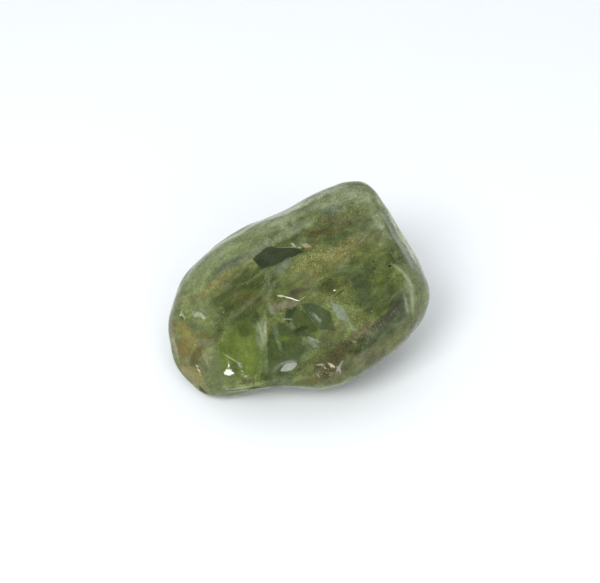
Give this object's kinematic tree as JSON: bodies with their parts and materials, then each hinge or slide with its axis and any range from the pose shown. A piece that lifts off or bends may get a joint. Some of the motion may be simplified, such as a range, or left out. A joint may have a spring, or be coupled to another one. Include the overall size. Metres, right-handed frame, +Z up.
{
  "type": "palm stone",
  "caption": "Tumbled and polished lump of olive green gem rock, wedge shaped with rounded edges, lying on a small flat spot.",
  "frame": {"origin": "under the middle of the stone, level with the flat spot that it rests on", "axes": "+X along the stone's length, towards the end under the peak; +Z up from the resting spot; the broad polished front faces -Y"},
  "size_m": [0.049, 0.0404, 0.0281],
  "materials": {
    "polished_peridot": "tumble polished, cloudy olive green stone"
  },
  "bodies": {
    "root": {"stone": "polished_peridot"}
  },
  "joints": []
}
